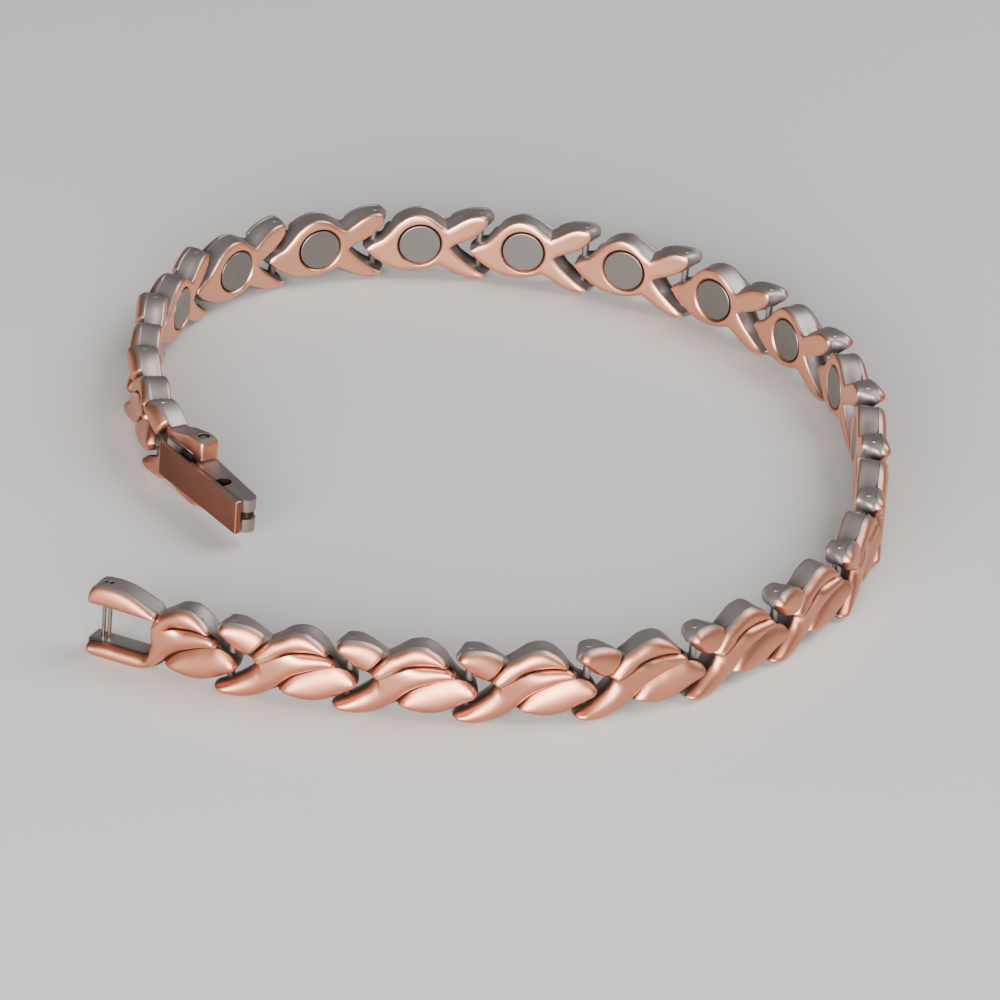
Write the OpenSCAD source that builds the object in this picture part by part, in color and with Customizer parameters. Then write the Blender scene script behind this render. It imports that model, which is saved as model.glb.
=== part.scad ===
/* [Chain] */
// Distance from one joint pin to the next
pitch = 8.6; // [8.6:0.1:9.2]
// Thickness of a link from its inner face to its outer face, without the relief
link_thick = 2.0; // [1.8:0.05:2.1]
// Height of the raised ribbon and the petal above the outer face
relief_high = 0.42; // [0.3:0.02:0.5]
// Height of the raised crest and the leaf above the outer face
relief_low = 0.34; // [0.2:0.02:0.4]
// Width of the groove between two raised forms
groove_w = 0.16; // [0.1:0.02:0.24]

/* [Joints] */
// Diameter of a joint pin
pin_d = 0.56; // [0.5:0.02:0.6]
// Clearance between a pin and its hole, all round
pin_clear = 0.03; // [0.02:0.01:0.05]
// Depth of the pin's end below the top of the link
pin_recess = 0.22; // [0.1:0.02:0.4]

/* [Magnets] */
// Diameter of a magnet disc
magnet_d = 3.3; // [3:0.1:3.4]
// Thickness of a magnet disc
magnet_t = 0.9; // [0.6:0.1:1]
// Clearance between a magnet and its seat, all round
magnet_clear = 0.06; // [0.03:0.01:0.1]
// Width of the bevelled rim round a magnet's seat
rim_w = 0.22; // [0.1:0.02:0.3]

/* [Catch] */
// Diameter of each of the two catch rods
rod_d = 0.32; // [0.28:0.01:0.34]
// Distance between the two catch rods
rod_gap = 0.46; // [0.44:0.01:0.5]

/* [Clasp] */
// Length of the tray from its pivot to its hinge
tray_len = 6.85; // [6.6:0.05:7]
// Height of the tray
tray_h = 2.72; // [2.5:0.02:2.8]
// Thickness of the tray's top and bottom walls
tray_wall = 0.5; // [0.4:0.05:0.6]
// Diameter of the notch that holds the catch rods
notch_d = 1.1; // [1:0.02:1.2]
// Length of the cover behind the pivot
cover_tail = 3.2; // [3:0.05:3.3]
// Thickness of the cover plate
cover_t = 0.52; // [0.4:0.02:0.55]
// Height of the cover plate
cover_h = 2.78; // [2.6:0.02:2.8]
// Diameter of the tray's pivot pin
pivot_d = 0.8; // [0.7:0.02:0.84]
// Diameter of the cover's hinge pin
hinge_d = 0.5; // [0.4:0.02:0.54]

/* [Hidden] */
// Heading of each link in plan, in degrees, from the catch end to the clasp end
headings = [
    -22, -7, -1, 11, 28, 47, 57, 75, 87, 93, 107, 126, 142, 160, 173, 187, 204, 228, 252, 270, 284, 305];
link_count = len(headings);
// Middle of the loop in plan, measured from the second link's pin
plan_centre = [18.26, 33.36];
// The catch link is longer than the others, from its rods to its nose pin
catch_len = 10.14;
body_shift = catch_len - pitch;
// Distance from the last link's pin to the clasp's pivot
pivot_reach = 6.03;
// Heading of the closed clasp in plan
clasp_heading = 307;

// Faces of a link, measured outward from the line of the joint pins
inner_face = -1.05;
outer_face = inner_face + link_thick;
// Between the inner and the outer part of a link, whose outlines differ a little
step_face = -0.4;
// How deep a raised form reaches into the plate below it
sunk = 0.2;
eps = 0.01;
// Taller than any link, for cuts
above = 8;

// Side view of a link, [along, height] from its own pin: the raised petal of the upper prong
petal_over = [[-1.12, 5.5], [-0.3, 5.88], [0.85, 5.83], [1.85, 5.52], [2.55, 5.0]];
petal_under = [[-1.05, 5.1], [-0.6, 4.68], [-0.1, 4.2], [0.45, 3.76], [1.12, 3.42]];
// The crest behind it
crest_over = [
    [1.8, 3.4], [2.45, 4.3], [3.4, 5.2], [4.35, 5.72], [5.25, 5.82], [6.1, 5.5], [6.7, 5.05], [7.1, 4.55]];
crest_under = [
    [2.05, 3.22], [2.85, 3.62], [3.55, 3.95], [4.25, 4.2], [4.95, 4.36], [5.7, 4.46], [6.4, 4.5],
    [7.05, 4.45]];
// The ribbon that sweeps from the lower prong's tip up to the link's shoulder
ribbon_over = [
    [-1.02, 0.78], [-0.1, 1.14], [0.75, 1.68], [1.45, 2.25], [2.0, 3.05], [2.85, 3.55], [3.55, 3.88],
    [4.25, 4.13], [4.95, 4.29], [5.7, 4.4], [6.4, 4.44], [7.1, 4.4], [7.62, 4.14]];
ribbon_under = [
    [-0.98, 0.4], [-0.22, 0.12], [0.74, 0.02], [1.75, 0.24], [2.67, 0.66], [3.44, 1.2], [3.98, 1.78],
    [4.53, 2.3], [5.09, 2.62], [5.6, 2.85], [6.15, 3.12], [6.9, 3.4], [7.75, 3.6]];
// The leaf below it, whose end is the link's nose
leaf_over = [
    [3.62, 1.16], [4.1, 1.74], [4.62, 2.2], [5.15, 2.5], [5.65, 2.74], [6.2, 3.02], [6.95, 3.3],
    [7.7, 3.5], [8.35, 3.38], [8.9, 3.1], [9.3, 2.75]];
leaf_under = [
    [3.7, 1.04], [4.3, 0.8], [4.95, 0.58], [5.6, 0.48], [6.3, 0.52], [6.95, 0.7], [7.5, 0.98],
    [8.1, 1.34], [8.7, 1.76], [9.1, 2.08], [9.36, 2.42]];

// The prongs' ends slant by this many degrees from the outer face's corner
prong_slant = 17;
prong_end = -1.22;

// Parts of the outline that no raised form follows
prong_tip = [[-1.2, 5.3], [-1.05, 5.0]];
waist = [2.82, 4.84];
shoulder = [
    [3.4, 5.27], [4.35, 5.78], [5.25, 5.87], [6.12, 5.54], [6.75, 5.07], [7.18, 4.56], [7.66, 4.2],
    [8.0, 3.6]];
nose = [[8.4, 3.42], [8.95, 3.12], [9.35, 2.78], [9.42, 2.42], [9.15, 2.05], [8.72, 1.72]];
belly = [
    [8.1, 1.3], [7.5, 0.94], [6.95, 0.66], [6.3, 0.48], [5.6, 0.42], [4.9, 0.52], [4.2, 0.76], [3.55, 1.06]];
tail_low = [[2.67, 0.6], [1.75, 0.18], [0.74, 0], [-0.22, 0.08], [-0.9, 0.32], [-1.15, 0.58], [-1.05, 0.82]];
tail_high = [[-0.55, 0.95], [-0.1, 1.18], [0.75, 1.72], [1.45, 2.3], [1.95, 2.98]];
prong_low = [[1.12, 3.36], [0.45, 3.7], [-0.1, 4.14], [-0.6, 4.64], [-1.0, 5.1]];

// The inner part of a link is a little smaller: its belly is higher and its prongs are slimmer
inner_prong_top = [[-0.55, 5.3], [-0.5, 5.78], [-0.05, 5.9], [0.75, 5.84], [1.5, 5.5], [2.2, 5.0]];
inner_waist = [2.75, 4.62];
inner_back = [
    [3.35, 5.0], [4.15, 5.62], [4.85, 5.86], [5.5, 5.86], [6.2, 5.54], [6.85, 4.95], [7.3, 4.3], [7.9, 3.62]];
inner_nose = [[8.55, 3.25], [9.05, 2.96], [9.22, 2.62], [8.85, 2.14]];
inner_belly = [[8.1, 1.62], [7.1, 1.08], [6.05, 0.84], [5.0, 0.84], [4.0, 1.1], [3.25, 1.44]];
inner_tail = [[2.4, 0.95], [1.55, 0.5], [0.75, 0.22], [-0.1, 0.22], [-0.55, 0.4], [-0.5, 0.7]];
inner_fork = [[-0.05, 0.88], [0.8, 1.45], [1.65, 2.15], [2.3, 2.75], [2.42, 3.02]];
inner_prong_low = [[2.05, 3.16], [1.35, 3.5], [0.55, 3.92], [-0.1, 4.46], [-0.5, 5.0]];

// The catch link: two arms round a square gap, side view from the rods
arm_top = [
    [-1.08, 4.7], [-1.06, 5.3], [-0.75, 5.75], [0, 5.95], [1.1, 5.95], [2.2, 5.74], [3.2, 5.37], [4.1, 4.95]];
arm_gap_top = 4.33;
arm_gap_bottom = 1.22;
arm_gap_end = 4.0;
arm_back = -1.14;
arm_low = [[-1.16, 0.95], [-1.1, 0.4], [-0.7, 0.1], [0.5, 0], [2.0, 0], [3.3, 0.1], [4.3, 0.5]];
catch_crest_over = [
    [4.12, 4.2], [4.5, 4.85], [4.94, 5.2], [5.89, 5.72], [6.79, 5.82], [7.64, 5.5], [8.24, 5.05],
    [8.64, 4.55]];
catch_crest_under = [
    [4.14, 3.5], [4.5, 3.75], [5.09, 3.97], [5.79, 4.2], [6.49, 4.36], [7.24, 4.46], [7.94, 4.5],
    [8.59, 4.45]];
catch_ribbon_over = [
    [4.12, 1.35], [4.08, 2.1], [4.12, 2.75], [4.5, 3.45], [5.1, 3.83], [5.8, 4.08], [6.5, 4.25],
    [7.25, 4.36], [7.95, 4.4], [8.65, 4.38], [9.16, 4.14]];
catch_ribbon_under = [
    [4.22, 0.62], [4.75, 0.78], [5.1, 1.3], [5.55, 1.8], [6.1, 2.3], [6.65, 2.62], [7.15, 2.85],
    [7.7, 3.1], [8.15, 3.28], [8.6, 3.42], [9.25, 3.6]];
arm_up_face = [[[-1, 5.3], [0, 5.88], [1.4, 5.84], [2.9, 5.42], [4.25, 4.85]],
               [[-1.02, 4.45], [0.1, 4.4], [1.4, 4.4], [2.9, 4.4], [4.35, 4.42]]];
arm_low_face = [[[-1.08, 1.1], [0.2, 1.15], [1.5, 1.15], [2.8, 1.15], [3.95, 1.1]],
                [[-1, 0.45], [0.2, 0.08], [1.5, 0.06], [2.8, 0.1], [4.1, 0.45]]];

// The last link: its own prongs, a short web, and two arms that carry the clasp
web_start = 1.4;
web_end = 2.35;
last_waist = [2.25, 4.78];
last_petal_over = [[-1.12, 5.5], [-0.3, 5.88], [0.6, 5.82], [1.4, 5.5], [2.02, 5.02]];
last_petal_under = [[-1.05, 5.1], [-0.6, 4.68], [-0.15, 4.2], [0.3, 3.78], [0.95, 3.46]];
last_arm_top = [[2.9, 4.95], [3.8, 5.25], [4.8, 5.6], [5.7, 5.84], [6.5, 5.88], [6.95, 5.76], [7.06, 5.5]];
last_arm_tip = 7.06;
last_arm_low = [[7.0, 0.75], [6.75, 0.3], [6.2, 0.08], [5.2, 0.02], [4.0, 0.12], [2.9, 0.3], [1.9, 0.2]];
last_arm_outer = 0.8;
last_arm_inner = -0.8;

// Clasp, [along, outward] in plan from the pivot
hinge_out = 0.45;
tray_low = 1.45;
tray_top = tray_low + tray_h;
knuckle_r = 0.75;
hinge_r = 0.72;
tray_inner = -0.27;
tray_outer = 1.17;
channel_start = 1.0;
channel_end = 5.9;
floor_out = 0.05;
notch_along = 4.15;
notch_out = 0.72;
slot_low = 2.52;
slot_h = 0.66;
tab_clear = 0.05;
tab_r = 0.6;
tab_w = 0.5;
tab_sunk = 0.1;
// How far the hinge pin's hole stops below the tray's top and bottom
hinge_end = 0.28;
cover_low = 1.5;
cover_in = 1.25;
cover_thin_end = 0.6;
cover_thin_in = 1.44;
cover_nose = 0.58;
tongue_back = -3.5;
tongue_front = -0.8;
tongue_out = 0.92;
tongue_t = 0.34;
tongue_low = 1.6;
tongue_h = 2.6;

magnet_at = [4.9, 3.25];
magnet_back = 0.05;
// Ends of the pins and of their blind holes
pin_low = 0.42;
hole_low = 0.36;
rod_top = 5.72;
pivot_top = 5.6;

copper = [0.78, 0.5, 0.4];
clasp_copper = [0.72, 0.46, 0.37];
steel = [0.7, 0.7, 0.68];
dark_steel = [0.4, 0.39, 0.38];
magnet_grey = [0.5, 0.48, 0.45];

// A point of the smooth curve through p, at t from 0 to 1 of its stretch i
function spline_point(p, i, t) =
    let (a = p[max(i - 1, 0)], b = p[i], c = p[min(i + 1, len(p) - 1)], d = p[min(i + 2, len(p) - 1)])
    0.5 * (2 * b + (c - a) * t + (2 * a - 5 * b + 4 * c - d) * t * t + (3 * b - a - 3 * c + d) * t * t * t);

// The smooth curve through p, with the given points for each stretch
function curve(p, per = 2) = [
    for (i = [0 : len(p) - 2], k = [0 : per - 1]) spline_point(p, i, k / per),
    p[len(p) - 1]];

// Place of a link's own pin in plan, found by adding up the links before it
function pin_place(k) =
    k <= 1 ? [0, 0] - (1 - k) * catch_len * [cos(headings[0]), sin(headings[0])]
    : pin_place(k - 1) + pitch * [cos(headings[k - 1]), sin(headings[k - 1])];

// A raised form between an upper and a lower curve: height rises from both edges to the middle
across = [0, 0.22, 0.5, 0.78, 1];
rise = [0.3, 0.8, 1, 0.8, 0.3];
end_rise = 0.45;
function form_points(over, under, high) = let (last = len(over) - 1) [
    for (i = [0 : last])
        let (a = over[i], b = under[i], w = max(norm(b - a), eps), e = min(0.5 * groove_w / w, 0.25),
             h = high * (i == 0 || i == last ? end_rise : 1))
        for (j = [0 : 6])
            let (c = j == 5 ? 1 : j == 6 ? 0 : across[j], t = e + c * (1 - 2 * e), q = a + (b - a) * t)
            [q[0], q[1], j > 4 ? outer_face - sunk : outer_face + h * rise[j]]];
function form_faces(rows) = concat(
    [for (j = [1 : 5]) [0, j, j + 1]],
    [for (i = [0 : rows - 2], j = [0 : 6])
        let (p = 7 * i + j, q = 7 * i + (j + 1) % 7, r = 7) each [[p, p + r, q + r], [p, q + r, q]]],
    [let (s = 7 * (rows - 1)) for (j = [1 : 5]) [s, s + j + 1, s + j]]);
module raised(over, under, high) {
    polyhedron(form_points(over, under, high), form_faces(len(over)));
}

// Shift of a side view along the link
function shift(p, d) = [for (q = p) [q[0] + d, q[1]]];

// A link stands in its own frame: x along the chain, y inward, z up, with its own pin on z
module on_link(k) {
    translate([pin_place(k)[0] - plan_centre[0], pin_place(k)[1] - plan_centre[1], 0])
        rotate([0, 0, headings[k]]) children();
}
module side_view() { rotate([90, 0, 0]) children(); }
module plate(outline, from = inner_face, to = outer_face) {
    translate([0, 0, from]) linear_extrude(to - from) polygon(outline);
}

// The upper prong's top edge, from the tip to the waist, and the back from the waist to the nose
prong_top = concat([prong_tip[1], prong_tip[0]], curve(petal_over));
back_and_nose = concat([waist], curve(shoulder), curve(nose), curve(belly));
prong_inner = concat(curve(tail_high), curve(prong_low));
link_outline = concat(prong_top, back_and_nose, curve(tail_low), prong_inner);
inner_prongs_low = concat(curve(inner_tail), curve(inner_fork), curve(inner_prong_low));
inner_body = concat([inner_waist], curve(inner_back), curve(inner_nose), curve(inner_belly));
inner_outline = concat(curve(inner_prong_top), inner_body, inner_prongs_low);

// Holes for the joint pins and the magnet's seat
module pin_hole(along, low, d) { translate([along, 0, low]) cylinder(d = d, h = above, $fn = 48); }
module magnet_seat(along) {
    seat_d = magnet_d + 2 * magnet_clear;
    side_view() translate([along, magnet_at[1], inner_face - eps]) {
        cylinder(d = seat_d, h = magnet_t + magnet_back + eps, $fn = 64);
        cylinder(d1 = seat_d + 2 * rim_w, d2 = seat_d, h = rim_w, $fn = 64);
    }
}
// The prongs' ends slant, so that the chain can bend inwards
module prong_slants() {
    translate([prong_end, -outer_face, -eps]) rotate([0, 0, -prong_slant])
        translate([-above, -above / 2, 0]) cube([above, 2 * above, above]);
}

module chain_link(k) {
    color(copper) on_link(k) difference() {
        side_view() {
            plate(link_outline, step_face, outer_face);
            plate(inner_outline, inner_face, step_face);
            raised(petal_over, petal_under, relief_high);
            raised(crest_over, crest_under, relief_low);
            raised(ribbon_over, ribbon_under, relief_high);
            raised(leaf_over, leaf_under, relief_low);
        }
        pin_hole(0, hole_low, pin_d + 2 * pin_clear);
        pin_hole(pitch, -1, pin_d + 2 * pin_clear);
        magnet_seat(magnet_at[0]);
        prong_slants();
    }
}

// The catch link holds the two rods between its arms
function backwards(p) = [for (i = [0 : len(p) - 1]) p[len(p) - 1 - i]];
arm_gap = [
    [arm_back, arm_gap_bottom], [arm_gap_end, arm_gap_bottom],
    [arm_gap_end, arm_gap_top], [arm_back, arm_gap_top]];
catch_outline = concat(
    curve(arm_top), shift(back_and_nose, body_shift), backwards(arm_low), arm_gap);
catch_inner_outline = concat(
    curve(arm_top), shift(inner_body, body_shift), backwards(arm_low), arm_gap);
module catch_link() {
    color(copper) on_link(0) difference() {
        side_view() {
            plate(catch_outline, step_face, outer_face);
            plate(catch_inner_outline, inner_face, step_face);
            raised(arm_up_face[0], arm_up_face[1], relief_low);
            raised(arm_low_face[0], arm_low_face[1], relief_low);
            raised(catch_ribbon_over, catch_ribbon_under, relief_high);
            raised(catch_crest_over, catch_crest_under, relief_low);
            raised(shift(leaf_over, body_shift), shift(leaf_under, body_shift), relief_low);
        }
        for (side = [-0.5, 0.5])
            pin_hole(side * rod_gap, hole_low, rod_d + pin_clear);
        pin_hole(catch_len, -1, pin_d + 2 * pin_clear);
        magnet_seat(magnet_at[0] + body_shift);
    }
}

// The last link ends in the fork that carries the clasp
last_gap = [
    [last_arm_tip, arm_gap_top], [web_end, arm_gap_top],
    [web_end, arm_gap_bottom], [last_arm_tip, arm_gap_bottom]];
last_prong_low = [[0.95, 3.4], [0.3, 3.72], [-0.15, 4.14], [-0.6, 4.64], [-1.0, 5.1]];
last_arms = concat([last_waist], curve(last_arm_top), last_gap, curve(last_arm_low));
last_tail = [for (i = [2 : len(tail_low) - 1]) tail_low[i]];
last_fork = concat([for (i = [0 : 2]) tail_high[i]], [[web_start, 2.2], [web_start, 3.24]]);
last_outline = concat(
    [prong_tip[1], prong_tip[0]], curve(last_petal_over), last_arms, last_tail, last_fork,
    curve(last_prong_low));
module last_link() {
    color(copper) on_link(link_count - 1) difference() {
        side_view() {
            plate(last_outline);
            raised(last_petal_over, last_petal_under, relief_high);
            raised([for (i = [0 : 3]) ribbon_over[i]], [for (i = [0 : 3]) ribbon_under[i]], relief_high);
        }
        // The arms are narrower than the rest
        for (y = [-last_arm_outer - 2, -last_arm_inner])
            translate([web_end, y, -eps]) cube([above, 2, above]);
        pin_hole(0, hole_low, pin_d + 2 * pin_clear);
        pin_hole(pivot_reach, hole_low, pivot_d + 2 * pin_clear);
        prong_slants();
    }
}

// One pin at each joint, from the lower prong up to just below the top of the upper one
module link_pins() {
    pin_top = petal_over[1][1] - pin_recess;
    color(dark_steel) for (k = [1 : link_count - 1])
        on_link(k) translate([0, 0, pin_low]) cylinder(d = pin_d, h = pin_top - pin_low, $fn = 32);
}
// A magnet disc lies in its seat, level with the link's inner face
module magnet(k) {
    along = magnet_at[0] + (k == 0 ? body_shift : 0);
    color(magnet_grey) on_link(k) side_view()
        translate([along, magnet_at[1], inner_face + magnet_back / 2])
            cylinder(d = magnet_d, h = magnet_t, $fn = 64);
}
module catch_rods() {
    color(steel) on_link(0) for (side = [-0.5, 0.5])
        translate([side * rod_gap, 0, pin_low]) cylinder(d = rod_d, h = rod_top - pin_low, $fn = 24);
}

// The clasp stands in its own frame: x along it from the pivot, y outward, z up
last_heading = headings[link_count - 1];
pivot_place = pin_place(link_count - 1) + pivot_reach * [cos(last_heading), sin(last_heading)];
module on_clasp() {
    translate([pivot_place[0] - plan_centre[0], pivot_place[1] - plan_centre[1], 0])
        rotate([0, 0, clasp_heading]) mirror([0, 1, 0]) children();
}
module post(at, low, high, d) { translate([at[0], at[1], low]) cylinder(d = d, h = high - low, $fn = 48); }
module slab(outline, low, high) { translate([0, 0, low]) linear_extrude(high - low) polygon(outline); }

hinge_at = [tray_len, hinge_out];
tray_outline = [
    [0, -knuckle_r], [tray_len, tray_inner], [tray_len, tray_outer], [0.9, tray_outer], [0.35, 0.66],
    [0, knuckle_r]];
module clasp_tray() {
    color(clasp_copper) on_clasp() difference() {
        union() {
            slab(tray_outline, tray_low, tray_top);
            post([0, 0], tray_low, tray_top, 2 * knuckle_r);
            post(hinge_at, tray_low, tray_top, 2 * hinge_r);
        }
        post([0, 0], 0, above, pivot_d + 2 * pin_clear);
        post(hinge_at, tray_low + hinge_end, tray_top - hinge_end, hinge_d + 2 * pin_clear);
        // The channel between the top and bottom walls, open outwards
        translate([channel_start, floor_out, tray_low + tray_wall])
            cube([channel_end - channel_start, above, tray_h - 2 * tray_wall]);
        // The slot for the cover's tab
        translate([channel_end - eps, -above / 2, slot_low]) cube([above, above, slot_h]);
        // The notch for the catch rods
        post([notch_along, notch_out], 0, above, notch_d);
        translate([notch_along - notch_d / 2, notch_out, 0]) cube([notch_d, above, above]);
    }
}
// A steel tongue between the arms, behind the pivot
module clasp_tongue() {
    color(steel) on_clasp() translate([tongue_back, tongue_out - tongue_t, tongue_low])
        cube([tongue_front - tongue_back, tongue_t, tongue_h]);
}
module clasp_pivot_pin() {
    color(dark_steel) on_clasp() post([0, 0], pin_low, pivot_top, pivot_d);
}
module clasp_hinge_pin() {
    color(dark_steel) on_clasp()
        post(hinge_at, tray_low + hinge_end + pin_clear, tray_top - hinge_end - pin_clear, hinge_d);
}
// The cover is a flat plate, thinner over the pivot, with a tab that turns on the hinge pin
cover_out = cover_in + cover_t;
cover_end = tray_len + cover_nose;
cover_outline = [
    [-cover_tail, cover_thin_in], [cover_thin_end, cover_thin_in], [cover_thin_end, cover_in],
    [cover_end, cover_in], [cover_end, cover_out], [-cover_tail, cover_out]];
tab_outline = [
    [tray_len - tab_w, hinge_out], [tray_len + tab_w, hinge_out],
    [tray_len + tab_w, cover_in + tab_sunk], [tray_len - tab_w, cover_in + tab_sunk]];
module clasp_cover() {
    tab_low = slot_low + tab_clear;
    tab_high = slot_low + slot_h - tab_clear;
    color(clasp_copper) on_clasp() difference() {
        union() {
            slab(cover_outline, cover_low, cover_low + cover_h);
            slab(tab_outline, tab_low, tab_high);
            post(hinge_at, tab_low, tab_high, 2 * tab_r);
        }
        post(hinge_at, 0, above, hinge_d + 2 * tab_clear);
    }
}

catch_link();  // link_01
chain_link(1);  // link_02
chain_link(2);  // link_03
chain_link(3);  // link_04
chain_link(4);  // link_05
chain_link(5);  // link_06
chain_link(6);  // link_07
chain_link(7);  // link_08
chain_link(8);  // link_09
chain_link(9);  // link_10
chain_link(10);  // link_11
chain_link(11);  // link_12
chain_link(12);  // link_13
chain_link(13);  // link_14
chain_link(14);  // link_15
chain_link(15);  // link_16
chain_link(16);  // link_17
chain_link(17);  // link_18
chain_link(18);  // link_19
chain_link(19);  // link_20
chain_link(20);  // link_21
last_link();  // link_22
magnet(0);  // magnet_01
magnet(1);  // magnet_02
magnet(2);  // magnet_03
magnet(3);  // magnet_04
magnet(4);  // magnet_05
magnet(5);  // magnet_06
magnet(6);  // magnet_07
magnet(7);  // magnet_08
magnet(8);  // magnet_09
magnet(9);  // magnet_10
magnet(10);  // magnet_11
magnet(11);  // magnet_12
magnet(12);  // magnet_13
magnet(13);  // magnet_14
magnet(14);  // magnet_15
magnet(15);  // magnet_16
magnet(16);  // magnet_17
magnet(17);  // magnet_18
magnet(18);  // magnet_19
magnet(19);  // magnet_20
magnet(20);  // magnet_21
link_pins();
catch_rods();
clasp_pivot_pin();
clasp_tray();
clasp_tongue();
clasp_hinge_pin();
clasp_cover();
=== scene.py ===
import math
import bmesh
import bpy
from mathutils import Matrix, Vector
from mathutils.bvhtree import BVHTree
from mathutils.kdtree import KDTree


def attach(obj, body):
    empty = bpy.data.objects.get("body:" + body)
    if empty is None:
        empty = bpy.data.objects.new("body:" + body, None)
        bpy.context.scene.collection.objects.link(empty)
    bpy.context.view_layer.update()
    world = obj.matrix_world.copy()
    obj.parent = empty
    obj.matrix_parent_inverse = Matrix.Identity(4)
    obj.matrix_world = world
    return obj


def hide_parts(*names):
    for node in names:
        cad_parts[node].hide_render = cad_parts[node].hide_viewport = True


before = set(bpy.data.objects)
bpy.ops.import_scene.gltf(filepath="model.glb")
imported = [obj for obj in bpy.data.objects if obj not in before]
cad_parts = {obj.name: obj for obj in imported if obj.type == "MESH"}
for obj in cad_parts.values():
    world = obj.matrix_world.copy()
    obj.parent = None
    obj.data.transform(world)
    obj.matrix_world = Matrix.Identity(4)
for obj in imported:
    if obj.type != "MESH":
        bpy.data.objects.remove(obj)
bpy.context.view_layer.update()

MM = 0.001

# Camera, floor and light
VIEW_DOWN = math.radians(29.126)
VIEW_ROLL = math.radians(4.706)
CAMERA_AT = (0.07, -477.38, 264.85)
LENS, SENSOR = 257.13, 36
FLOOR_HALF = 0.9


def set_camera():
    """The photograph's long lens, looking along +Y and down at the bracelet."""
    forward = Vector((0, math.cos(VIEW_DOWN), -math.sin(VIEW_DOWN)))
    level = Vector((1, 0, 0))
    up = level.cross(forward)
    c, s = math.cos(VIEW_ROLL), math.sin(VIEW_ROLL)
    right = c * level + s * up
    top = c * up - s * level
    place = Matrix((right, top, -forward)).transposed().to_4x4()
    place.translation = Vector(CAMERA_AT) * MM
    lens = bpy.data.cameras.new("camera")
    lens.lens = LENS
    lens.sensor_width = SENSOR
    lens.clip_start = 0.02
    lens.clip_end = 20
    cam = bpy.data.objects.new("camera", lens)
    cam.matrix_world = place
    bpy.context.scene.collection.objects.link(cam)
    bpy.context.scene.camera = cam


def soft_light(name, at, size, watts, colour=(1, 1, 1)):
    """A rectangular lamp, turned to the middle of the loop."""
    lamp = bpy.data.lights.new(name, "AREA")
    lamp.shape = "RECTANGLE"
    lamp.size, lamp.size_y = size
    lamp.energy = watts
    lamp.color = colour
    o = bpy.data.objects.new(name, lamp)
    o.location = at
    o.rotation_euler = (-Vector(at)).to_track_quat("-Z", "Y").to_euler()
    bpy.context.scene.collection.objects.link(o)


def set_studio():
    world = bpy.data.worlds.new("studio")
    bpy.context.scene.world = world
    world.use_nodes = True
    back = world.node_tree.nodes["Background"]
    back.inputs["Color"].default_value = (0.78, 0.80, 0.84, 1)
    back.inputs["Strength"].default_value = 0.14
    soft_light("front", at=(-0.08, -0.52, 0.16), size=(0.55, 0.29), watts=10.8, colour=(1, 0.97, 0.94))
    soft_light("top", at=(0.36, 0.06, 0.46), size=(0.40, 0.40), watts=3.4)


def shader(name):
    mat = bpy.data.materials.new(name)
    mat.use_nodes = True
    return mat, mat.node_tree, mat.node_tree.nodes["Principled BSDF"]


def set_floor():
    bm = bmesh.new()
    bmesh.ops.create_grid(bm, x_segments=1, y_segments=1, size=FLOOR_HALF)
    mesh = bpy.data.meshes.new("floor")
    bm.to_mesh(mesh)
    bm.free()
    floor = bpy.data.objects.new("floor", mesh)
    bpy.context.scene.collection.objects.link(floor)
    mat, _, bsdf = shader("pale_floor")
    bsdf.inputs["Base Color"].default_value = (0.56, 0.55, 0.54, 1)
    bsdf.inputs["Roughness"].default_value = 0.75
    mesh.materials.append(mat)


set_camera()
set_studio()
set_floor()

# The chain in plan, in millimetres, as in the part's source
PITCH = 8.6
CATCH_LEN = 10.14
SHIFT = CATCH_LEN - PITCH
CENTRE = (18.26, 33.36)  # middle of the loop, from the second link's pin
# Heading of each link, in degrees, from the catch link to the last
HEADINGS = (-22, -7, -1, 11, 28, 47, 57, 75, 87, 93, 107,
            126, 142, 160, 173, 187, 204, 228, 252, 270, 284, 305)
LAST = len(HEADINGS) - 1
PIVOT_REACH = 6.03
CLASP_HEADING = 307
HINGE_ALONG = 6.85


def towards(heading, length):
    a = math.radians(heading)
    return Vector((length * math.cos(a), length * math.sin(a)))


def pin_place(k):
    """Place in plan of link k's own joint pin, or of the catch link's rods where k is 0."""
    at = -Vector(CENTRE) - towards(HEADINGS[0], CATCH_LEN)
    for i in range(k):
        at = at + towards(HEADINGS[i], PITCH if i else CATCH_LEN)
    return at


def in_plan(at, heading):
    """Turns a space of (along, outward, up), in millimetres, into the bracelet's frame, in metres."""
    turn = Matrix.Rotation(math.radians(heading), 4, "Z")
    flip = Matrix.Diagonal((1, -1, 1, 1))
    return Matrix.Scale(MM, 4) @ Matrix.Translation((at.x, at.y, 0)) @ turn @ flip


def link_place(k):
    """Where link k's own space lies, with its own pin or rods at the origin."""
    return in_plan(pin_place(k), HEADINGS[k])


def clasp_place():
    """Where the clasp's space lies, with the pivot pin at the origin."""
    return in_plan(pin_place(LAST) + towards(HEADINGS[LAST], PIVOT_REACH), CLASP_HEADING)


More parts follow.
